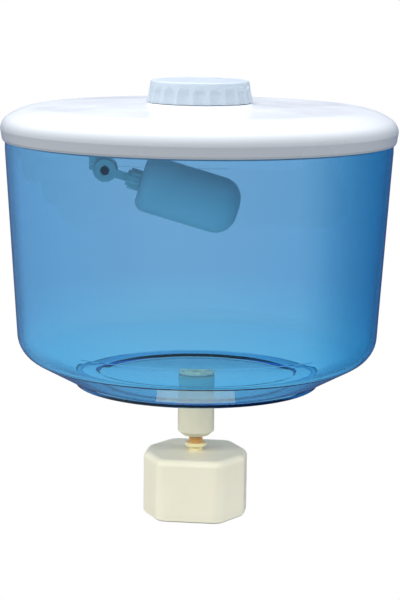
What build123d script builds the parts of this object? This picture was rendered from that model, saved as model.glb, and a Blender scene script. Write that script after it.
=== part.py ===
from build123d import *
import math
import os

# Plumbed-in top tank of a water cooler. All sizes are in millimetres. The Z axis is the outlet's axis,
# and Z = 0 is the flat base of the level float, which the whole thing stands on. -Y is the front.

# Level float and the plug that it carries
float_height = 48.6
float_half_width = 39.6
float_half_depth = 38.4
float_corner_x = 15.9
float_corner_y = 27.3
float_turn = -7.0
float_corner_fillet = 11.0
float_rim_fillet = 5.0
float_wall = 2.2
float_base_thickness = 4.0
plug_r = 5.3
plug_reach = 12.6          # float's top to the outlet's nose, valve shut
stem_r = 2.2
stem_neck_r = 5.4
stem_neck_height = 3.4
stem_flange_r = 8.3
stem_flange_thickness = 2.8
stem_boss_r = 4.0
float_travel = 10.0

# Outlet fitting
outlet_drop = 42.4         # tank's foot ring to the outlet's nose
outlet_clearance = 1.2     # plug to the bore
outlet_wall = 3.0
outlet_shoulder = 4.7
outlet_lip = 5.0           # plug to the nose's edge
seat_depth = 3.0
seal_thickness = 1.6
washer_thickness = 1.0
nut_height = 2.6

# Tank
foot_z = float_height + plug_reach + outlet_drop
tank_height = 193.0
tank_rim_r = 147.4         # sets the lid's size too
tank_wall = 2.8
tank_collar = 12.0         # straight band under the rim
wall_flare = 9.5           # knee to the rim
knee_height = 26.3
knee_fillet = 22.0
base_flare = 44.1          # foot ring to the knee
foot_ring_width = 3.2
foot_height = 2.6
floor_step_inset = 16.8

# Lid
lid_skirt_wall = 2.7
lid_wall = 2.4
lid_skirt = 5.5            # how far the skirt hangs below the tank's rim
lid_gap = 0.7              # all round, between the tank's wall and the lid
lid_seal_thickness = 2.0
lid_shoulder_r = 11.1
lid_crown_r = 46.0
lid_rise = 20.2            # shoulder to the pad round the filler neck
lid_pad_margin = 5.4       # pad's width outside the cap
neck_bore_r = 29.5
neck_wall = 2.8
neck_height = 13.4

# Screw cap
cap_wall = 6.2
cap_draft = 3.5
cap_height = 16.4
cap_top_thickness = 2.2
cap_clearance = 2.1        # for the thread between cap and neck
liner_thickness = 1.2
flute_count = 20
flute_cut_r = 9.0
flute_depth = 1.5

# Inlet float valve
inlet_bearing = 129.86     # about the tank's axis, from +X
inlet_margin = 2.5         # lid's lip to the top of the inlet's pad
block_setback = 13.9       # inside of the tank's wall to the drop block's axis
block_drop = 20.0          # inlet to the pivot
head_depth = 12.0
head_r = 10.0
block_width = 13.0
inlet_thread_r = 6.6
inlet_flange_r = 9.5
inlet_gasket = 1.0
pad_r = 11.0
locknut_flats = 18.0
socket_r = 6.3
tube_r = 3.25
spindle_r = 4.12
running_fit = 0.08
lever_gap = 0.3
float_angle = -16.3
valve_float_r = 23.2
valve_float_length = 83.0
valve_float_start = 30.5   # along the arm, from the pivot
float_nut_r = 8.5

lid_r = tank_rim_r + lid_gap + lid_skirt_wall
knee_r = tank_rim_r - wall_flare
foot_r = knee_r - base_flare
floor_step_r = foot_r - floor_step_inset
neck_r = neck_bore_r + neck_wall
cap_base_r = neck_r + cap_clearance + cap_wall
cap_top_r = cap_base_r - cap_draft
lid_pad_r = cap_base_r + lid_pad_margin
outlet_bore_r = plug_r + outlet_clearance
outlet_thread_r = outlet_bore_r + outlet_wall
outlet_r = outlet_thread_r + outlet_shoulder
outlet_nose_r = plug_r + outlet_lip
rim_z = foot_z + tank_height
knee_z = foot_z + knee_height
cone_angle = math.degrees(math.atan((knee_height - foot_height) / (knee_r - foot_r - 0.9)))
cone_slope = math.tan(math.radians(cone_angle))
cone_lift = tank_wall / math.cos(math.radians(cone_angle))
floor_z = foot_z + 3.0 + tank_wall
outlet_floor_z = foot_z + 0.8
nose_z = foot_z - outlet_drop
seat_z = nose_z + seat_depth

os.makedirs("parts", exist_ok=True)


def finish(builder, label):
    builder.part.label = label
    export_step(builder.part, f"parts/{label}.step")


def wall_radius(height):
    """Outside radius of the tank's wall at a height over the foot ring."""
    rise = (height - knee_height) / (tank_height - tank_collar - knee_height)
    return knee_r + min(rise, 1.0) * (tank_rim_r - knee_r)


# Tank: one moulding, with its foot ring, stepped floor and the flat pad that the inlet is clamped to
stem_height = tank_height - lid_skirt - inlet_margin - pad_r
inlet_reach = wall_radius(stem_height) - tank_wall - block_setback
inlet_dir = Vector(math.cos(math.radians(inlet_bearing)), math.sin(math.radians(inlet_bearing)), 0)
inlet_axis = inlet_dir * inlet_reach
inlet_z = foot_z + stem_height
pad_inner = wall_radius(stem_height - pad_r) - tank_wall - 0.9
pad_outer = tank_rim_r + 0.3


def inlet_plane(reach):
    """Plane across the inlet's axis, that far from the tank's axis and facing outwards."""
    origin = inlet_dir * reach + Vector(0, 0, inlet_z)
    return Plane(origin=origin, x_dir=(-inlet_dir.Y, inlet_dir.X, 0), z_dir=inlet_dir)


with BuildPart() as tank:
    with BuildSketch(Plane.XZ) as section:
        with BuildLine():
            Polyline(
                (foot_r - foot_ring_width, foot_z),
                (foot_r, foot_z),
                (foot_r + 0.9, foot_z + foot_height),
                (knee_r, knee_z),
                (tank_rim_r, rim_z - tank_collar),
                (tank_rim_r, rim_z),
                (tank_rim_r - tank_wall, rim_z),
                (tank_rim_r - tank_wall, rim_z - tank_collar),
                (knee_r - tank_wall, knee_z + cone_lift - tank_wall * cone_slope),
                (knee_r - (knee_z + cone_lift - floor_z) / cone_slope, floor_z),
                (floor_step_r + 1.5, floor_z),
                (floor_step_r, outlet_floor_z + tank_wall),
                (outlet_thread_r + 0.3, outlet_floor_z + tank_wall - 0.6),
                (outlet_thread_r + 0.3, outlet_floor_z),
                (floor_step_r - 1.0, outlet_floor_z),
                (floor_step_r + 0.8, floor_z - tank_wall),
                (foot_r - foot_ring_width - 0.4, floor_z - tank_wall),
                close=True,
            )
        make_face()
        corners = section.vertices()
        fillet(corners.sort_by_distance((knee_r, knee_z))[0], knee_fillet)
        corners = section.vertices()
        inner_knee = (knee_r - tank_wall, knee_z + cone_lift - tank_wall * cone_slope)
        fillet(corners.sort_by_distance(inner_knee)[0], knee_fillet - tank_wall)
        rim_corners = section.vertices().group_by(Axis.Y)[-1]
        fillet(rim_corners, 0.6)
    revolve(axis=Axis.Z)
    with BuildSketch(inlet_plane(pad_inner)):
        Circle(pad_r)
    extrude(amount=pad_outer - pad_inner)
    with BuildSketch(inlet_plane(pad_inner - 1)):
        Circle(inlet_thread_r + 0.2)
    extrude(amount=pad_outer - pad_inner + 4, mode=Mode.SUBTRACT)
finish(tank, "tank")


# Lid: domed moulding with a skirt outside the tank's rim, a spigot inside it and the filler neck
shoulder_z = rim_z + 3.0
skirt_z = rim_z - lid_skirt
lid_seat_z = rim_z + lid_seal_thickness
skirt_inner_r = tank_rim_r + lid_gap
spigot_r = tank_rim_r - tank_wall - lid_gap
lid_pad_z = shoulder_z + lid_rise
neck_z = lid_pad_z + neck_height


def crown(inset):
    """Half section of the lid's crown, set in from the outside, from the shoulder to the axis."""
    edge = JernArc((lid_r - inset, shoulder_z), (0, 1), lid_shoulder_r - inset, 56)
    dome = JernArc(edge @ 1, edge % 1, lid_crown_r - inset, 31.6)
    top = Polyline(dome @ 1, (lid_pad_r, lid_pad_z - inset), (0, lid_pad_z - inset))
    return edge, top


with BuildPart() as lid:
    with BuildSketch(Plane.XZ):
        with BuildLine():
            edge, top = crown(0)
            Polyline(
                edge @ 0,
                (lid_r - 0.4, skirt_z + 6),
                (lid_r - 1.0, skirt_z + 1.6),
                (lid_r - 1.9, skirt_z),
                (0, skirt_z),
                top @ 1,
            )
        make_face()
    revolve(axis=Axis.Z)
    with BuildSketch(Plane.XZ):
        with BuildLine():
            edge, top = crown(lid_wall)
            Polyline(edge @ 0, (lid_r - lid_wall, skirt_z - 1), (0, skirt_z - 1), top @ 1)
        make_face()
    revolve(axis=Axis.Z, mode=Mode.SUBTRACT)
    # Seat for the seal, with the skirt outside it and the spigot inside
    with BuildSketch(Plane.XZ) as seat:
        with BuildLine():
            Polyline(
                (skirt_inner_r, skirt_z + 0.2),
                (lid_r - 1.7, skirt_z + 0.2),
                (lid_r - 1.7, shoulder_z + 1.0),
                (lid_r - 6.2, shoulder_z + 7.4),
                (spigot_r - 2.0, shoulder_z + 9.6),
                (spigot_r - 2.0, rim_z - 7.0),
                (spigot_r - 0.6, rim_z - 7.0),
                (spigot_r, rim_z - 5.0),
                (spigot_r, lid_seat_z),
                (skirt_inner_r, lid_seat_z),
                close=True,
            )
        make_face()
    revolve(axis=Axis.Z)
    with BuildSketch(Plane.XY.offset(lid_pad_z - 1)):
        Circle(neck_r)
    extrude(amount=neck_height + 1)
    with BuildSketch(Plane.XY.offset(lid_pad_z - 8)):
        Circle(neck_bore_r)
    extrude(amount=neck_height + 10, mode=Mode.SUBTRACT)
    fillet(lid.edges().group_by(Axis.Z)[-1], 0.8)
finish(lid, "lid")

with BuildPart() as lid_seal:
    with BuildSketch(Plane.XY.offset(rim_z)):
        Circle(skirt_inner_r - 0.2)
        Circle(spigot_r + 0.2, mode=Mode.SUBTRACT)
    extrude(amount=lid_seal_thickness)
finish(lid_seal, "lid_seal")


# Screw cap: tapered, with scalloped flutes that stop short of the top, over a loose disc liner
cap_base_z = lid_pad_z + 0.4
cap_top_z = cap_base_z + cap_height
cap_inner_z = neck_z + liner_thickness
cap_bore_r = neck_r + cap_clearance
cap_taper = math.degrees(math.atan((cap_base_r - cap_top_r) / cap_height))
flute_top_z = cap_top_z - 7.2
flute_r = cap_base_r - (flute_top_z - cap_base_z) * math.tan(math.radians(cap_taper)) - flute_depth
flute_plane = Plane(
    origin=(flute_r + flute_cut_r * math.cos(math.radians(cap_taper)), 0, flute_top_z),
    x_dir=(0, 1, 0),
    z_dir=(math.sin(math.radians(cap_taper)), 0, -math.cos(math.radians(cap_taper))),
)
with BuildPart() as flute:
    with BuildSketch(flute_plane):
        Circle(flute_cut_r)
    extrude(amount=cap_height + 4)
    with Locations(flute_plane.origin):
        Sphere(flute_cut_r)

with BuildPart() as screw_cap:
    with BuildSketch(Plane.XY.offset(cap_base_z)):
        Circle(cap_base_r)
    extrude(amount=cap_height, taper=cap_taper)
    fillet(screw_cap.edges().group_by(Axis.Z)[-1], 1.6)
    with PolarLocations(0, flute_count):
        add(flute.part, mode=Mode.SUBTRACT)
    with BuildSketch(Plane.XY.offset(cap_base_z - 1)):
        Circle(cap_bore_r)
    extrude(amount=cap_inner_z - cap_base_z + 1, mode=Mode.SUBTRACT)
finish(screw_cap, "screw_cap")

with BuildPart() as cap_liner:
    with BuildSketch(Plane.XY.offset(neck_z)):
        Circle(cap_bore_r - 0.3)
    extrude(amount=liner_thickness)
finish(cap_liner, "cap_liner")


# Outlet: body clamped through the tank's floor by a lobed nut, with a seat at its nose and a stem guide
shoulder_low_z = outlet_floor_z - seal_thickness
guide_z = foot_z - 24.0
guide_height = 6.0
guide_hub_r = 4.3
washer_z = outlet_floor_z + tank_wall - 0.3
nut_z = washer_z + washer_thickness
outlet_top_z = nut_z + nut_height + 0.5

with BuildPart() as outlet_body:
    with BuildSketch(Plane.XZ):
        with BuildLine():
            Polyline(
                (plug_r - 1.7, seat_z),
                (plug_r + 1.3, seat_z),
                (plug_r + 1.3, nose_z),
                (outlet_nose_r, nose_z),
                (outlet_r, nose_z + 3.4),
                (outlet_r, shoulder_low_z),
                (outlet_thread_r, shoulder_low_z),
                (outlet_thread_r, outlet_top_z),
                (outlet_bore_r, outlet_top_z),
                (outlet_bore_r, seat_z + 2.6),
                (plug_r - 1.7, seat_z + 2.2),
                close=True,
            )
        make_face()
    revolve(axis=Axis.Z)
    with BuildSketch(Plane.XY.offset(guide_z)):
        Circle(guide_hub_r)
        with PolarLocations((guide_hub_r + outlet_bore_r) / 2, 3, start_angle=30):
            Rectangle(outlet_bore_r - guide_hub_r + 2, 2.0)
        Circle(stem_r + 0.3, mode=Mode.SUBTRACT)
    extrude(amount=guide_height)
    chamfer(outlet_body.edges().filter_by(GeomType.CIRCLE).sort_by(Axis.Z)[-1], 0.6)
finish(outlet_body, "outlet_body")

with BuildPart() as outlet_gasket:
    with BuildSketch(Plane.XY.offset(shoulder_low_z)):
        Circle(outlet_r - 0.4)
        Circle(outlet_thread_r, mode=Mode.SUBTRACT)
    extrude(amount=seal_thickness)
finish(outlet_gasket, "outlet_gasket")

with BuildPart() as outlet_washer:
    with BuildSketch(Plane.XY.offset(washer_z)):
        Circle(outlet_r - 0.2)
        Circle(outlet_thread_r, mode=Mode.SUBTRACT)
    extrude(amount=washer_thickness)
finish(outlet_washer, "outlet_washer")

with BuildPart() as outlet_nut:
    with BuildSketch(Plane.XY.offset(nut_z)) as lobes:
        Circle(outlet_r - 0.7)
        with PolarLocations(outlet_r + 1.0, 8):
            Circle(2.9, mode=Mode.SUBTRACT)
        fillet(lobes.vertices(), 0.8)
        Circle(outlet_thread_r, mode=Mode.SUBTRACT)
    extrude(amount=nut_height)
    chamfer(outlet_nut.edges().group_by(Axis.Z)[-1].filter_by(GeomType.CIRCLE).sort_by(SortBy.RADIUS)[0:1], 0.4)
finish(outlet_nut, "outlet_nut")


# Level float: hollow eight-sided shell closed by a base plate, turned a little about the outlet's axis
float_plane = Plane.XY.rotated((0, 0, float_turn))


def float_outline(inset):
    """Eight-sided outline of the level float, set in from its outside."""
    half_x, half_y = float_half_width - inset, float_half_depth - inset
    with BuildLine() as outline:
        Polyline(
            (half_x, 0),
            (half_x, half_y - float_corner_y + inset / 2),
            (half_x - float_corner_x + inset / 2, half_y),
            (0, half_y),
        )
        mirror(about=Plane.YZ)
        mirror(about=Plane.XZ)
    return outline.edges()


with BuildPart() as level_float_shell:
    with BuildSketch(float_plane.offset(float_base_thickness)):
        make_face(float_outline(0))
    extrude(amount=float_height - float_base_thickness)
    fillet(level_float_shell.edges().filter_by(Axis.Z), float_corner_fillet)
    fillet(level_float_shell.edges().group_by(Axis.Z)[-1], float_rim_fillet)
    with BuildSketch(float_plane.offset(float_base_thickness)):
        make_face(float_outline(float_wall))
    extrude(amount=float_height - float_base_thickness - 1.2 * float_wall - 2, mode=Mode.SUBTRACT)
    with BuildSketch(Plane.XY.offset(float_height - 10)):
        Circle(stem_boss_r)
    extrude(amount=12, mode=Mode.SUBTRACT)
finish(level_float_shell, "level_float_shell")

with BuildPart() as level_float_base:
    with BuildSketch(float_plane):
        make_face(float_outline(0))
    extrude(amount=float_base_thickness)
    fillet(level_float_base.edges().filter_by(Axis.Z), float_corner_fillet)
    chamfer(level_float_base.edges().group_by(Axis.Z)[0], 1.2)
    with BuildSketch(float_plane.offset(float_base_thickness)):
        make_face(float_outline(float_wall + 0.2))
    extrude(amount=3.0)
    with BuildSketch(float_plane.offset(float_base_thickness)):
        make_face(float_outline(float_wall + 2.2))
    extrude(amount=4.0, mode=Mode.SUBTRACT)
finish(level_float_base, "level_float_base")

flange_z = float_height + stem_neck_height
flange_top_z = flange_z + stem_flange_thickness
float_ceiling_z = float_height - 1.2 * float_wall - 2
with BuildPart() as float_stem:
    with BuildSketch(Plane.XY.offset(flange_z)):
        Circle(stem_flange_r)
    extrude(amount=stem_flange_thickness)
    fillet(float_stem.edges(), 1.0)
    with BuildSketch(Plane.XY.offset(float_height)):
        Circle(stem_neck_r)
    extrude(amount=stem_neck_height + 0.5)
    with BuildSketch(Plane.XY.offset(float_ceiling_z - 6)):
        Circle(stem_boss_r)
    extrude(amount=float_height - float_ceiling_z + 6)
    with BuildSketch(Plane.XY.offset(flange_top_z)):
        Circle(stem_r)
    extrude(amount=foot_z - 3.0 - flange_top_z)
    chamfer(float_stem.edges().group_by(Axis.Z)[-1], 0.5)
finish(float_stem, "float_stem")

with BuildPart() as stem_nut:
    with BuildSketch(Plane.XY.offset(float_ceiling_z - 4.2)):
        RegularPolygon(stem_boss_r + 3.0, 6, major_radius=False)
        Circle(stem_boss_r, mode=Mode.SUBTRACT)
    extrude(amount=4.2)
finish(stem_nut, "stem_nut")

with BuildPart() as seal_plug:
    with BuildSketch(Plane.XY.offset(flange_top_z)):
        Circle(plug_r)
        Circle(stem_r, mode=Mode.SUBTRACT)
    extrude(amount=seat_z - flange_top_z)
    chamfer(seal_plug.edges().group_by(Axis.Z)[-1].sort_by(SortBy.RADIUS)[-1], 0.5)
finish(seal_plug, "seal_plug")

clip_thickness = 1.6
clip_z = guide_z + guide_height + float_travel
with BuildPart() as stem_clip:
    with BuildSketch(Plane.XY.offset(clip_z)):
        Circle(outlet_bore_r - 1.2)
        Circle(stem_r, mode=Mode.SUBTRACT)
        with PolarLocations(outlet_bore_r - 1.0, 3):
            Circle(1.4, mode=Mode.SUBTRACT)
    extrude(amount=clip_thickness)
finish(stem_clip, "stem_clip")


# Inlet valve body: threaded stem through the wall, a drop block and the round head of the plug cock
pivot_x = inlet_axis.X + block_width / 2
pivot_z = inlet_z - block_drop
head_front_y = inlet_axis.Y - head_depth / 2
head_back_y = head_front_y + head_depth
socket_start = pad_outer + 6.6
o_ring_start = socket_start + 9.4
collet_start = o_ring_start + 2.0
socket_end = collet_start + 5.6
waterway_r = 2.0
collet_bore_r = 4.7

with BuildPart() as valve_body:
    with BuildSketch(Plane.XZ.offset(-head_back_y)):
        with Locations((pivot_x, pivot_z)):
            Circle(head_r)
        with Locations((pivot_x - block_width / 2, (pivot_z + inlet_z + inlet_thread_r) / 2)):
            Rectangle(block_width, inlet_z + inlet_thread_r - pivot_z)
    extrude(amount=head_depth)
    fillet(valve_body.edges().filter_by(Axis.Y), 1.5)
    with BuildSketch(inlet_plane(inlet_reach - 2)):
        Circle(inlet_thread_r)
    extrude(amount=socket_start - inlet_reach + 2)
    with BuildSketch(inlet_plane(socket_start)):
        Circle(socket_r)
    extrude(amount=socket_end - socket_start)
    with BuildSketch(inlet_plane(pad_inner - inlet_gasket - 1.8)):
        Circle(inlet_flange_r)
    extrude(amount=1.8)
    # Waterway: in along the stem, down the block, through the cock and out below the head
    with BuildSketch(inlet_plane(inlet_reach)):
        Circle(waterway_r)
    extrude(amount=socket_start - inlet_reach + 1, mode=Mode.SUBTRACT)
    with BuildSketch(inlet_plane(socket_start)):
        Circle(tube_r)
    extrude(amount=o_ring_start - socket_start, mode=Mode.SUBTRACT)
    with BuildSketch(inlet_plane(o_ring_start)):
        Circle(collet_bore_r)
    extrude(amount=socket_end - o_ring_start, mode=Mode.SUBTRACT)
    with BuildSketch(Plane.XY.offset(pivot_z - head_r - 1)):
        with Locations((pivot_x, head_front_y + head_depth / 2)):
            Circle(waterway_r)
    extrude(amount=head_r + 1, mode=Mode.SUBTRACT)
    with BuildSketch(Plane.XY.offset(pivot_z)):
        with Locations((pivot_x - 3, head_front_y + head_depth / 2)):
            Circle(waterway_r)
    extrude(amount=inlet_z - pivot_z, mode=Mode.SUBTRACT)
    with BuildSketch(Plane.XZ.offset(-head_back_y - 1)):
        with Locations((pivot_x, pivot_z)):
            Circle(spindle_r + running_fit)
    extrude(amount=head_depth + 2, mode=Mode.SUBTRACT)
finish(valve_body, "valve_body")

with BuildPart() as valve_gasket:
    with BuildSketch(inlet_plane(pad_inner - inlet_gasket)):
        Circle(inlet_flange_r)
        Circle(inlet_thread_r, mode=Mode.SUBTRACT)
    extrude(amount=inlet_gasket)
finish(valve_gasket, "valve_gasket")

with BuildPart() as valve_locknut:
    with BuildSketch(inlet_plane(pad_outer)):
        RegularPolygon(locknut_flats / 2, 6, major_radius=False, rotation=30)
        Circle(inlet_thread_r, mode=Mode.SUBTRACT)
    extrude(amount=5.6)
    chamfer(valve_locknut.edges().filter_by(GeomType.CIRCLE), 0.3)
finish(valve_locknut, "valve_locknut")

with BuildPart() as tube_o_ring:
    with Locations(inlet_plane(o_ring_start + 1.0).location):
        Torus((tube_r + collet_bore_r) / 2, 0.71)
finish(tube_o_ring, "tube_o_ring")

collet_press = 1.2
with BuildPart() as tube_collet:
    with BuildSketch(inlet_plane(collet_start + collet_press + 0.3)):
        Circle(collet_bore_r - running_fit)
    extrude(amount=socket_end - collet_start)
    with BuildSketch(inlet_plane(socket_end + collet_press + 0.3)):
        Circle(5.9)
    extrude(amount=1.8)
    fillet(tube_collet.edges().filter_by(GeomType.CIRCLE).sort_by(SortBy.RADIUS)[-2:], 0.5)
    with BuildSketch(inlet_plane(collet_start)):
        Circle(tube_r)
    extrude(amount=12, mode=Mode.SUBTRACT)
finish(tube_collet, "tube_collet")


# Plug cock and lever, which swing about the pivot with the float
hub_r = 9.4
hub_back_y = head_front_y - lever_gap
hub_thickness = 5.4
hub_front_y = hub_back_y - hub_thickness
lever_plane_y = hub_back_y - hub_thickness / 2
square = 5.6
arm = Vector(math.cos(math.radians(float_angle)), 0, math.sin(math.radians(float_angle)))


def arm_plane(reach):
    """Plane across the arm, that far from the pivot and facing along the arm."""
    origin = Vector(pivot_x, lever_plane_y, pivot_z) + arm * reach
    return Plane(origin=origin, x_dir=(0, 1, 0), z_dir=arm)


with BuildPart() as valve_spindle:
    with BuildSketch(Plane.XZ.offset(-hub_back_y)):
        with Locations((pivot_x, pivot_z)):
            Circle(spindle_r)
    extrude(amount=-(head_back_y + lever_gap - hub_back_y))
    with BuildSketch(Plane.XZ.offset(-head_back_y - lever_gap)):
        with Locations((pivot_x, pivot_z)):
            Circle(6.2)
    extrude(amount=-1.8)
    with BuildSketch(Plane.XZ.offset(-hub_back_y)):
        with Locations((pivot_x, pivot_z)):
            Rectangle(square, square)
    extrude(amount=2.8)
    with BuildSketch(Plane.XY.offset(pivot_z - 6)):
        with Locations((pivot_x, head_front_y + head_depth / 2)):
            Circle(waterway_r)
    extrude(amount=12, mode=Mode.SUBTRACT)
    with BuildSketch(Plane.XZ.offset(-hub_back_y + 3)):
        with Locations((pivot_x, pivot_z)):
            Circle(1.5)
    extrude(amount=-6.5, mode=Mode.SUBTRACT)
    with BuildSketch(Plane.XZ.offset(-head_back_y + 1.2)):
        with Locations((pivot_x, pivot_z)):
            Circle(spindle_r + 1)
            Circle(spindle_r - 0.9, mode=Mode.SUBTRACT)
    extrude(amount=1.4, mode=Mode.SUBTRACT)
finish(valve_spindle, "valve_spindle")

with BuildPart() as spindle_o_ring:
    with Locations(Plane(origin=(pivot_x, head_back_y - 1.9, pivot_z), z_dir=(0, 1, 0)).location):
        Torus(spindle_r - 0.4, 0.42)
finish(spindle_o_ring, "spindle_o_ring")

with BuildPart() as float_lever:
    with BuildSketch(Plane.XZ.offset(-hub_back_y)):
        with Locations((pivot_x, pivot_z)):
            Circle(hub_r)
    extrude(amount=hub_thickness)
    fillet(float_lever.edges().sort_by(Axis.Y)[0], 0.8)
    with BuildSketch(arm_plane(hub_r - 2)):
        Rectangle(4.0, 6.5)
    extrude(amount=valve_float_start - hub_r - 9)
    with BuildSketch(arm_plane(valve_float_start - 11.5)):
        Circle(6.4)
    extrude(amount=2.0)
    with BuildSketch(arm_plane(valve_float_start - 9.5)):
        Circle(5.0)
    extrude(amount=4.5)
    with BuildSketch(Plane.XZ.offset(-hub_back_y)):
        with Locations((pivot_x, pivot_z)):
            Rectangle(square, square)
    extrude(amount=2.8, mode=Mode.SUBTRACT)
    with BuildSketch(Plane.XZ.offset(-hub_back_y)):
        with Locations((pivot_x, pivot_z)):
            Circle(1.5)
    extrude(amount=hub_thickness, mode=Mode.SUBTRACT)
    with BuildSketch(Plane.XZ.offset(-hub_front_y)):
        with Locations((pivot_x, pivot_z)):
            Circle(3.9)
    extrude(amount=-1.6, mode=Mode.SUBTRACT)
finish(float_lever, "float_lever")

with BuildPart() as lever_screw:
    with BuildSketch(Plane.XZ.offset(-hub_front_y - 1.6)):
        with Locations((pivot_x, pivot_z)):
            Circle(3.4)
    extrude(amount=1.5)
    fillet(lever_screw.edges().group_by(Axis.Y)[0], 0.6)
    with BuildSketch(Plane.XZ.offset(-hub_front_y - 1.6)):
        with Locations((pivot_x, pivot_z)):
            Circle(1.5)
    extrude(amount=-6.0)
    with BuildSketch(Plane.XZ.offset(-hub_front_y - 0.9)):
        with Locations((pivot_x, pivot_z)):
            Rectangle(3.6, 0.9)
            Rectangle(0.9, 3.6)
    extrude(amount=2.0, mode=Mode.SUBTRACT)
finish(lever_screw, "lever_screw")

with BuildPart() as float_nut:
    with BuildSketch(arm_plane(valve_float_start - 9.5)) as grip:
        Circle(float_nut_r)
        with PolarLocations(float_nut_r + 0.9, 12):
            Circle(1.5, mode=Mode.SUBTRACT)
        Circle(5.0, mode=Mode.SUBTRACT)
    extrude(amount=9.3)
finish(float_nut, "float_nut")

with BuildPart() as valve_float:
    with BuildSketch(arm_plane(valve_float_start)):
        Circle(valve_float_r)
    extrude(amount=valve_float_length)
    ends = valve_float.edges().filter_by(GeomType.CIRCLE).sort_by(Axis.X)
    fillet(ends[0], 8.5)
    fillet(valve_float.edges().filter_by(GeomType.CIRCLE).sort_by(Axis.X)[-1], 17.5)
    with BuildSketch(arm_plane(valve_float_start - 5.0)):
        Circle(5.0)
    extrude(amount=7.0)
finish(valve_float, "valve_float")
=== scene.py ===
import bpy
import math
from mathutils import Matrix, Vector


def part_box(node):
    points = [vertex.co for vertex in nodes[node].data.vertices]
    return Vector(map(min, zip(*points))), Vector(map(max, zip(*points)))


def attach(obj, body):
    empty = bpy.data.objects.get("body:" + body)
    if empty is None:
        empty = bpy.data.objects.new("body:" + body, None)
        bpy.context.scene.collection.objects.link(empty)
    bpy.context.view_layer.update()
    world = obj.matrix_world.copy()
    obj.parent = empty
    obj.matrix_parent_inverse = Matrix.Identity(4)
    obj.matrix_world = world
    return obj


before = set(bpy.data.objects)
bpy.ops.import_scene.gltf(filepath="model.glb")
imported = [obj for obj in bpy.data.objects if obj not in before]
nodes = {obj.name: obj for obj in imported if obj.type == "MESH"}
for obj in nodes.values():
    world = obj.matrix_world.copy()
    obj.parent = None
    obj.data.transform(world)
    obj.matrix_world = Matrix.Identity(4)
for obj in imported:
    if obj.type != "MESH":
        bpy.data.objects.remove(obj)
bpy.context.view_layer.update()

# Height of the tank's foot ring over the ground, in metres as everything here
footHeight = 0.1036


def linear(code):
    """Linear colour, with alpha 1, of a hex sRGB code."""
    parts = [int(code[i : i + 2], 16) / 255 for i in (0, 2, 4)]
    return tuple(p / 12.92 if p <= 0.04045 else ((p + 0.055) / 1.055) ** 2.4 for p in parts) + (1.0,)


def addNode(tree, kind, settings=None, **links):
    """Adds a node; a link is named for its input, with _ for spaces, or in0, in1 for its place."""
    node = tree.nodes.new(kind)
    for key, value in (settings or {}).items():
        setattr(node, key, value)
    for key, value in links.items():
        byPlace = key.startswith("in") and key[2:].isdigit()
        socket = node.inputs[int(key[2:])] if byPlace else node.inputs[key.replace("_", " ")]
        if isinstance(value, bpy.types.NodeSocket):
            tree.links.new(value, socket)
        else:
            socket.default_value = value
    return node


def newMaterial(name):
    """An empty material with its output node and Object coordinates."""
    material = bpy.data.materials.new(name)
    material.use_nodes = True
    tree = material.node_tree
    tree.nodes.clear()
    output = tree.nodes.new("ShaderNodeOutputMaterial")
    place = tree.nodes.new("ShaderNodeTexCoord").outputs["Object"]
    return material, tree, output, place


def wornPlastic(name, look):
    """Moulded plastic or rubber: mottled colour, uneven gloss and a fine skin in its bump."""
    skinDepth = 0.0002
    smearRatio = 3.7
    material, tree, output, place = newMaterial(name)
    blotch = addNode(
        tree, "ShaderNodeTexNoise", Vector=place, Scale=look["blotch"], Detail=4.0, Roughness=0.6,
    )
    tone = addNode(tree, "ShaderNodeMix", {"data_type": "RGBA"}, in0=blotch.outputs["Fac"])
    tone.inputs[6].default_value = linear(look["dark"])
    tone.inputs[7].default_value = linear(look["light"])
    smear = addNode(
        tree, "ShaderNodeTexNoise", Vector=place, Scale=look["blotch"] * smearRatio, Detail=3.0,
    )
    gloss = addNode(
        tree, "ShaderNodeMapRange", Value=smear.outputs["Fac"], From_Min=0.3, From_Max=0.7,
        To_Min=look["gloss"] - look["spread"], To_Max=look["gloss"] + look["spread"],
    )
    skin = addNode(tree, "ShaderNodeTexNoise", Vector=place, Scale=look["grain"], Detail=2.0)
    bump = addNode(
        tree, "ShaderNodeBump", Height=skin.outputs["Fac"], Strength=look["relief"], Distance=skinDepth,
    )
    shader = addNode(
        tree, "ShaderNodeBsdfPrincipled", Base_Color=tone.outputs[2], Roughness=gloss.outputs["Result"],
        Normal=bump.outputs["Normal"], IOR=1.49,
    )
    if "soft" in look:
        shader.inputs["Subsurface Weight"].default_value = look["soft"]
        shader.inputs["Subsurface Radius"].default_value = look.get("softColour", (1.0, 1.0, 1.0))
        shader.inputs["Subsurface Scale"].default_value = look["depth"]
    if "metal" in look:
        shader.inputs["Metallic"].default_value = look["metal"]
    tree.links.new(shader.outputs[0], output.inputs["Surface"])
    return material


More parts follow.
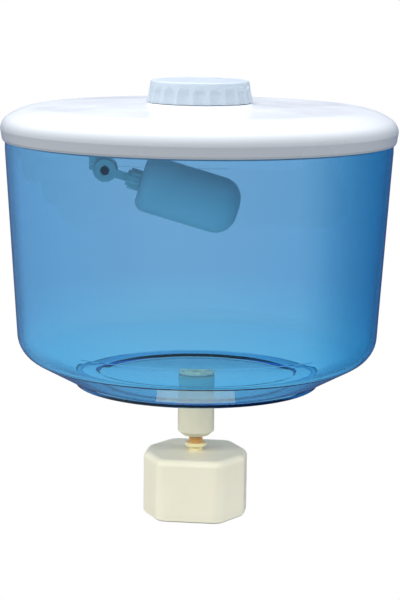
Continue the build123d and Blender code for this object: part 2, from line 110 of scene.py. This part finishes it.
def clearTank(name, look):
    """Clear moulded plastic, tinted by height, darkened towards +X by a painted shade and at grazing
    angles by a painted navy shade, over what its thickness absorbs.
    """
    drawnOut = (1.0, 1.0, 0.08)
    flowDepth = 0.0004
    material, tree, output, place = newMaterial(name)
    squash = addNode(tree, "ShaderNodeMapping", Vector=place, Scale=drawnOut)
    flow = addNode(
        tree, "ShaderNodeTexNoise", Vector=squash.outputs["Vector"], Scale=look["flow"], Detail=3.0,
    )
    bump = addNode(
        tree, "ShaderNodeBump", Height=flow.outputs["Fac"], Strength=look["relief"], Distance=flowDepth,
    )
    where = addNode(tree, "ShaderNodeSeparateXYZ", Vector=place)
    facing = tree.nodes.new("ShaderNodeLayerWeight").outputs["Facing"]
    tint = linear(look["foot"])
    # The facing ramp paints a navy shade where the tank is seen at grazing angles, and the side ramp
    # paints shade towards +X.
    for key, source in (("upper", where.outputs["Z"]), ("right", where.outputs["X"]), ("edge", facing)):
        start, end, code = look[key]
        ramp = addNode(tree, "ShaderNodeMapRange", Value=source, From_Min=start, From_Max=end)
        step = addNode(
            tree, "ShaderNodeMix", {"data_type": "RGBA", "blend_type": "MULTIPLY"},
            in0=ramp.outputs["Result"], in6=tint, in7=linear(code),
        )
        tint = step.outputs[2]
    shader = addNode(
        tree, "ShaderNodeBsdfPrincipled", Base_Color=tint, Normal=bump.outputs["Normal"],
        Transmission_Weight=1.0, Roughness=look["rough"], IOR=look["ior"],
    )
    body = addNode(tree, "ShaderNodeVolumeAbsorption", Color=look["body"], Density=look["density"])
    tree.links.new(shader.outputs[0], output.inputs["Surface"])
    tree.links.new(body.outputs[0], output.inputs["Volume"])
    return material


# Camera: the photograph's view, 1.44 m in front and tilted down a little
cameraPlace = (0.00198, -1.4429, 0.3174 + footHeight)
cameraTilt = 9.964
cameraRoll = 0.7
camera = bpy.data.objects.new("camera", bpy.data.cameras.new("camera"))
bpy.context.scene.collection.objects.link(camera)
camera.data.sensor_width = 36.0
camera.data.lens = 113.8
camera.location = cameraPlace
camera.rotation_euler = (math.radians(90 - cameraTilt), 0.0, 0.0)
camera.rotation_euler.rotate_axis("Z", math.radians(cameraRoll))
camera.data.clip_start = 0.05
camera.data.clip_end = 20.0
bpy.context.scene.camera = camera
print("camera set")

# Clear blue styrene-acrylonitrile, injection moulded: glossy and pale face on; its edges go navy partly
# through what the plastic absorbs and partly through a painted shade at grazing angles.
# Each tint has the values of height, side or facing where it starts and is whole, and its colour.
# The right tint is painted shade: it darkens the tank towards +X, as if the light came from the left.
tankMaterial = clearTank("clear_blue_styrene", {
    "foot": "FFFFFF", "upper": (0.12, 0.17, "FFEBF1"), "right": (0.085, 0.14, "A2D2E0"),
    "edge": (0.72, 0.97, "4C6C90"), "rough": 0.02, "ior": 1.52, "flow": 60.0,
    "relief": 0.05, "body": (0.17, 0.74, 0.93, 1.0), "density": 395.0,
})
# White impact polystyrene, moulded in a polished tool: bright, with a soft broad highlight
lidMaterial = wornPlastic("white_polystyrene", {
    "dark": "ECEFF2", "light": "F6F8FA", "blotch": 6.0, "gloss": 0.24, "spread": 0.05,
    "grain": 900.0, "relief": 0.04, "soft": 0.08, "depth": 0.003,
})
# Natural polypropylene cap: milky, slightly blue in the shade
capMaterial = wornPlastic("milky_polypropylene", {
    "dark": "D0DCE6", "light": "DCE6EE", "blotch": 30.0, "gloss": 0.34, "spread": 0.06,
    "grain": 1200.0, "relief": 0.06, "soft": 0.25, "depth": 0.004,
})
# Silicone rubber ring: matte, greyish and slightly see-through
sealMaterial = wornPlastic("grey_silicone", {
    "dark": "C6C8CA", "light": "D8DADB", "blotch": 40.0, "gloss": 0.55, "spread": 0.08,
    "grain": 1500.0, "relief": 0.1, "soft": 0.3, "depth": 0.002,
})
# Black nitrile rubber: matte with a grey bloom
rubberMaterial = wornPlastic("black_nitrile", {
    "dark": "141416", "light": "2A2A2D", "blotch": 120.0, "gloss": 0.62, "spread": 0.1,
    "grain": 2400.0, "relief": 0.15,
})
# Acetal: dense off-white, waxy, used for the valve's body, nut and plug
acetalMaterial = wornPlastic("white_acetal", {
    "dark": "D8DAD4", "light": "E8E9E4", "blotch": 60.0, "gloss": 0.4, "spread": 0.07,
    "grain": 1800.0, "relief": 0.08, "soft": 0.15, "depth": 0.002,
})
# Grey acetal of the push-fit's collet
colletMaterial = wornPlastic("grey_acetal", {
    "dark": "7C8188", "light": "8E949B", "blotch": 90.0, "gloss": 0.42, "spread": 0.07,
    "grain": 1800.0, "relief": 0.08,
})
# Lever and nut: plain polypropylene, a little yellowed by chlorine
leverMaterial = wornPlastic("plain_polypropylene", {
    "dark": "CDD0CA", "light": "DEE0DA", "blotch": 70.0, "gloss": 0.45, "spread": 0.08,
    "grain": 1600.0, "relief": 0.1, "soft": 0.1, "depth": 0.002,
})
# Dark zinc-plated steel screw
screwMaterial = wornPlastic("dark_plated_steel", {
    "dark": "2C2E33", "light": "484B52", "blotch": 200.0, "gloss": 0.35, "spread": 0.12,
    "grain": 3000.0, "relief": 0.2, "metal": 0.9,
})
# Foamed polyethylene with a closed skin: matte, faintly pitted
foamMaterial = wornPlastic("skinned_foam", {
    "dark": "D6DAD8", "light": "E4E7E5", "blotch": 25.0, "gloss": 0.6, "spread": 0.08,
    "grain": 700.0, "relief": 0.25,
})
# Outlet: unpigmented polypropylene, cream and slightly dull
outletMaterial = wornPlastic("cream_polypropylene", {
    "dark": "D6D4BE", "light": "E2E0CC", "blotch": 50.0, "gloss": 0.42, "spread": 0.07,
    "grain": 1500.0, "relief": 0.08, "soft": 0.15, "depth": 0.003,
})
# Level float: cream polystyrene with a satin skin
floatMaterial = wornPlastic("cream_polystyrene", {
    "dark": "ECE7CF", "light": "F6F2DF", "blotch": 22.0, "gloss": 0.38, "spread": 0.07,
    "grain": 1100.0, "relief": 0.06, "soft": 0.15, "depth": 0.003,
})
# Stem: unpigmented nylon, yellowish and waxy
stemMaterial = wornPlastic("yellowed_nylon", {
    "dark": "DDD2A4", "light": "EAE0B8", "blotch": 80.0, "gloss": 0.4, "spread": 0.07,
    "grain": 1800.0, "relief": 0.08, "soft": 0.3, "depth": 0.003,
})
# Plug: natural rubber, amber and half see-through
plugMaterial = wornPlastic("natural_rubber", {
    "dark": "BC8A4C", "light": "CFA266", "blotch": 90.0, "gloss": 0.5, "spread": 0.08,
    "grain": 1500.0, "relief": 0.15, "soft": 0.4, "depth": 0.003, "softColour": (1.0, 0.6, 0.25),
})

finishes = {
    "tank": tankMaterial, "lid": lidMaterial, "lid_seal": sealMaterial, "screw_cap": capMaterial,
    "cap_liner": sealMaterial, "valve_body": acetalMaterial, "valve_gasket": rubberMaterial,
    "valve_locknut": acetalMaterial, "tube_collet": colletMaterial, "tube_o_ring": rubberMaterial,
    "valve_spindle": acetalMaterial, "spindle_o_ring": rubberMaterial, "float_lever": leverMaterial,
    "lever_screw": screwMaterial, "float_nut": leverMaterial, "valve_float": foamMaterial,
    "outlet_body": outletMaterial, "outlet_gasket": sealMaterial, "outlet_washer": sealMaterial,
    "outlet_nut": outletMaterial, "level_float_shell": floatMaterial, "level_float_base": floatMaterial,
    "float_stem": stemMaterial, "stem_nut": stemMaterial, "seal_plug": plugMaterial,
    "stem_clip": stemMaterial,
}
for name, material in finishes.items():
    for materialSlot in nodes[name].material_slots:
        materialSlot.material = material
print("materials set")


def threadTree():
    """Node tree of a round-crested right-hand screw thread, wound about Z from the ground plane up."""
    tree = bpy.data.node_groups.new("round_thread", "GeometryNodeTree")
    for key in ("Radius", "Pitch", "Turns", "Crest"):
        tree.interface.new_socket(key, in_out="INPUT", socket_type="NodeSocketFloat")
    tree.interface.new_socket("Finish", in_out="INPUT", socket_type="NodeSocketMaterial")
    tree.interface.new_socket("Geometry", in_out="OUTPUT", socket_type="NodeSocketGeometry")
    given = tree.nodes.new("NodeGroupInput").outputs
    rise = addNode(
        tree, "ShaderNodeMath", {"operation": "MULTIPLY"}, in0=given["Pitch"], in1=given["Turns"],
    )
    helix = addNode(
        tree, "GeometryNodeCurveSpiral", Resolution=96, Rotations=given["Turns"],
        Start_Radius=given["Radius"], End_Radius=given["Radius"], Height=rise.outputs["Value"],
        Reverse=True,
    )
    # The crest dies away towards both ends of the thread
    along = tree.nodes.new("GeometryNodeSplineParameter").outputs["Factor"]
    ends = addNode(tree, "ShaderNodeMath", {"operation": "PINGPONG"}, in0=along, in1=0.5)
    taper = addNode(tree, "ShaderNodeMapRange", Value=ends.outputs["Value"], From_Max=0.06, To_Min=0.25)
    eased = addNode(
        tree, "GeometryNodeSetCurveRadius", Curve=helix.outputs["Curve"], Radius=taper.outputs["Result"],
    )
    crest = addNode(tree, "GeometryNodeCurvePrimitiveCircle", Resolution=12, Radius=given["Crest"])
    swept = addNode(
        tree, "GeometryNodeCurveToMesh", Curve=eased.outputs["Curve"],
        Profile_Curve=crest.outputs["Curve"], Fill_Caps=True,
    )
    if "Scale" in swept.inputs:
        tree.links.new(taper.outputs["Result"], swept.inputs["Scale"])
    whole = addNode(tree, "GeometryNodeRealizeInstances", Geometry=swept.outputs["Mesh"])
    painted = addNode(
        tree, "GeometryNodeSetMaterial", Geometry=whole.outputs["Geometry"], Material=given["Finish"],
    )
    output = tree.nodes.new("NodeGroupOutput")
    tree.links.new(painted.outputs["Geometry"], output.inputs["Geometry"])
    return tree


def addThread(name, tree, body, values, foot, turn):
    """A thread set at a height and turned about Z, riding on a body."""
    piece = bpy.data.objects.new(name, bpy.data.meshes.new(name))
    bpy.context.scene.collection.objects.link(piece)
    wound = piece.modifiers.new("thread", "NODES")
    wound.node_group = tree
    for item in tree.interface.items_tree:
        if item.in_out == "INPUT":
            wound[item.identifier] = values[item.name]
    bpy.context.view_layer.update()
    solid = bpy.data.meshes.new_from_object(piece.evaluated_get(bpy.context.evaluated_depsgraph_get()))
    piece.modifiers.remove(wound)
    placed = Matrix.Translation((0.0, 0.0, foot)) @ Matrix.Rotation(math.radians(turn), 4, "Z")
    solid.transform(placed)
    for face in solid.polygons:
        face.use_smooth = True
    piece.data = solid
    solid.name = name
    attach(piece, body)


# Threads of the filler neck and of its cap, half a turn apart so that each runs in the other's gap
neckRadius = 0.0323
boreRadius = 0.0344
threadSizes = {"Pitch": 0.008, "Turns": 1.02, "Crest": 0.0017}
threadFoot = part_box("screw_cap")[0][2] + 0.0028
halfTurn = 180.0
roundThread = threadTree()
addThread(
    "neck_thread", roundThread, "lid_unit",
    {**threadSizes, "Radius": neckRadius, "Finish": lidMaterial}, threadFoot, 0.0,
)
addThread(
    "cap_thread", roundThread, "cap_unit",
    {**threadSizes, "Radius": boreRadius, "Finish": capMaterial}, threadFoot, halfTurn,
)
print("threads made")

# Light: a white sky that is brightest overhead, seen pure white behind the object
world = bpy.data.worlds.new("studio")
bpy.context.scene.world = world
world.use_nodes = True
sky = world.node_tree
sky.nodes.clear()
skyOut = sky.nodes.new("ShaderNodeOutputWorld")
direction = sky.nodes.new("ShaderNodeTexCoord").outputs["Generated"]
height = addNode(sky, "ShaderNodeSeparateXYZ", Vector=direction)
ramp = addNode(sky, "ShaderNodeValToRGB")
rise = addNode(sky, "ShaderNodeMapRange", Value=height.outputs["Z"], From_Min=-1.0, From_Max=1.0)
sky.links.new(rise.outputs["Result"], ramp.inputs["Fac"])
stops = [
    (0.0, (0.34, 0.34, 0.33)), (0.42, (0.32, 0.35, 0.39)), (0.52, (0.36, 0.41, 0.47)),
    (0.68, (0.52, 0.57, 0.64)), (0.85, (0.86, 0.9, 0.95)), (1.0, (1.05, 1.05, 1.05)),
]
band = ramp.color_ramp
band.elements[0].position, band.elements[0].color = stops[0][0], stops[0][1] + (1.0,)
band.elements[1].position, band.elements[1].color = stops[-1][0], stops[-1][1] + (1.0,)
for position, colour in stops[1:-1]:
    band.elements.new(position).color = colour + (1.0,)
path = sky.nodes.new("ShaderNodeLightPath")
seen = addNode(
    sky, "ShaderNodeMath", {"operation": "MAXIMUM"},
    in0=path.outputs["Is Camera Ray"], in1=path.outputs["Is Transmission Ray"],
)
# Reflections see a bright left side and navy flags on the right and behind, which draw the tank's edges
flagColour = (0.01, 0.045, 0.2, 1.0)
leftward = addNode(
    sky, "ShaderNodeMapRange", Value=height.outputs["X"],
    From_Min=-0.9, From_Max=0.7, To_Min=1.0, To_Max=0.05,
)
behind = addNode(
    sky, "ShaderNodeMapRange", Value=height.outputs["Y"],
    From_Min=0.55, From_Max=0.9, To_Min=1.0, To_Max=0.5,
)
flags = addNode(
    sky, "ShaderNodeMath", {"operation": "MULTIPLY"},
    in0=leftward.outputs["Result"], in1=behind.outputs["Result"],
)
share = addNode(
    sky, "ShaderNodeMapRange", Value=path.outputs["Is Glossy Ray"], To_Min=1.0,
    To_Max=flags.outputs["Value"],
)
shade = addNode(
    sky, "ShaderNodeMix", {"data_type": "RGBA"}, in0=share.outputs["Result"], in6=flagColour,
    in7=ramp.outputs["Color"],
)
glow = addNode(sky, "ShaderNodeBackground", Color=shade.outputs[2], Strength=1.0)
plain = addNode(sky, "ShaderNodeBackground", Color=(1.0, 1.0, 1.0, 1.0), Strength=1.0)
pick = addNode(
    sky, "ShaderNodeMixShader", in0=seen.outputs["Value"], in1=glow.outputs[0], in2=plain.outputs[0],
)
sky.links.new(pick.outputs[0], skyOut.inputs["Surface"])


def addLight(name, at, aim, size, power, colour, lit=None):
    """A soft box that faces a place and that no reflection shows; lit limits it to some nodes."""
    lamp = bpy.data.objects.new(name, bpy.data.lights.new(name, "AREA"))
    bpy.context.scene.collection.objects.link(lamp)
    lamp.data.shape = "RECTANGLE"
    lamp.data.size, lamp.data.size_y = size
    lamp.data.energy = power
    lamp.data.color = colour
    lamp.location = at
    lamp.rotation_euler = (Vector(at) - Vector(aim)).to_track_quat("Z", "Y").to_euler()
    lamp.visible_glossy = False
    lamp.visible_transmission = False
    lamp.visible_camera = False
    if lit:
        group = bpy.data.collections.new(name + "_lit")
        for node in lit:
            group.objects.link(nodes[node])
        lamp.light_linking.receiver_collection = group
        lamp.light_linking.blocker_collection = group


# The lower fitting and the valve inside get light of their own, which the clear tank lets through
lower = [
    "outlet_body", "outlet_nut", "outlet_washer", "outlet_gasket", "level_float_shell",
    "level_float_base", "float_stem", "seal_plug",
]
inside = [
    "valve_body", "valve_gasket", "valve_spindle", "float_lever", "lever_screw", "float_nut",
    "valve_float",
]
tankMiddle = (0.0, 0.0, 0.3)
floatMiddle = (0.0, 0.0, 0.05)
valveFloatPlace = (0.0, 0.05, 0.25)
sideSize = (0.4, 0.4)
addLight("top_box", (-0.15, 0.05, 1.6), tankMiddle, (1.2, 1.2), 17.0, (1.0, 1.0, 1.0))
addLight("lower_key", (-0.3, -1.0, 0.75), floatMiddle, (0.8, 0.5), 6.0, (1.0, 0.95, 0.82), lower)
addLight("lower_left", (-0.9, -0.35, 0.45), floatMiddle, sideSize, 4.6, (1.0, 0.97, 0.88), lower)
addLight("lower_right", (0.9, -0.4, 0.4), floatMiddle, sideSize, 4.5, (1.0, 0.97, 0.9), lower)
addLight("inner_fill", (-0.2, -0.9, -0.3), valveFloatPlace, (0.5, 0.5), 3.4, (0.12, 0.7, 1.0), inside)
bpy.context.scene.view_settings.view_transform = "Standard"
bpy.context.scene.view_settings.look = "None"
print("lights set")
